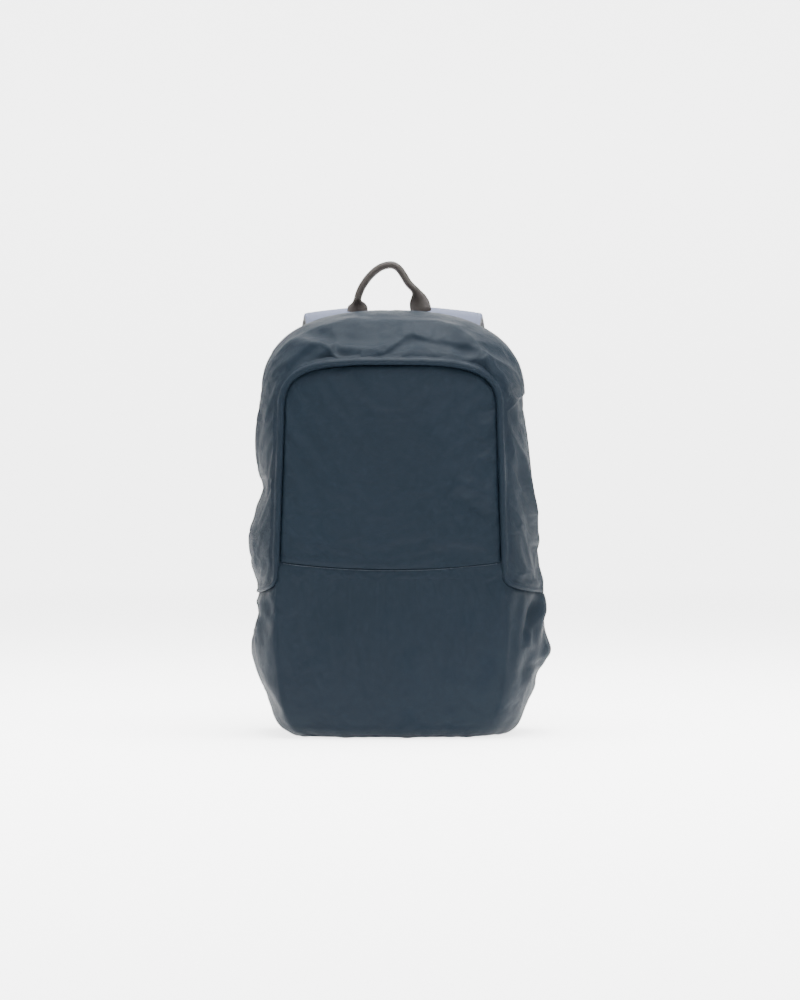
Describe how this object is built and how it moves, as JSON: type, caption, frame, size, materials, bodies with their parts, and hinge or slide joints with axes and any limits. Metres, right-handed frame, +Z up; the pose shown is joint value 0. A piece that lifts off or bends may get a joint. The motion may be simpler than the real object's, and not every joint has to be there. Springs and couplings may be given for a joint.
{
  "type": "anti theft backpack",
  "caption": "Slim soft daypack with a domed top, a raised edge roll round its front panel, a zip hidden at its back, padded shoulder straps and a webbing handle.",
  "frame": {"origin": "on the floor under the bag's middle plane, on the underside of the base panel", "axes": "+Z up to the handle, -Y out of the front panel, +Y out of the padded back, +X to the right seen from the front"},
  "size_m": [0.3019, 0.192, 0.4766],
  "materials": {
    "shell_fabric": "fine plain weave, slightly sheened",
    "strap_fabric": "plain weave, pale blue grey",
    "spacer_mesh": "open air mesh",
    "handle_webbing": "woven webbing, folded at the grip",
    "strap_webbing": "flat woven webbing",
    "lock_plastic": "moulded",
    "zip_coil": "moulded coil",
    "zip_metal": "dark plated"
  },
  "bodies": {
    "root": {"gusset": "shell_fabric", "front_panel": "shell_fabric", "lower_panel": "shell_fabric", "base_panel": "shell_fabric", "edge_roll": "shell_fabric", "zip_border": "shell_fabric", "back_pad": "spacer_mesh", "zip_coil": "zip_coil", "zip_slider": "zip_metal", "zip_pull": "zip_metal", "handle": "handle_webbing", "strap_left": "strap_fabric", "strap_mesh_left": "spacer_mesh", "lock_loop_left": "strap_webbing", "ladder_lock_left": "lock_plastic", "webbing_left": "strap_webbing", "tab_left": "shell_fabric", "strap_right": "strap_fabric", "strap_mesh_right": "spacer_mesh", "lock_loop_right": "strap_webbing", "ladder_lock_right": "lock_plastic", "webbing_right": "strap_webbing", "tab_right": "shell_fabric"}
  },
  "joints": []
}
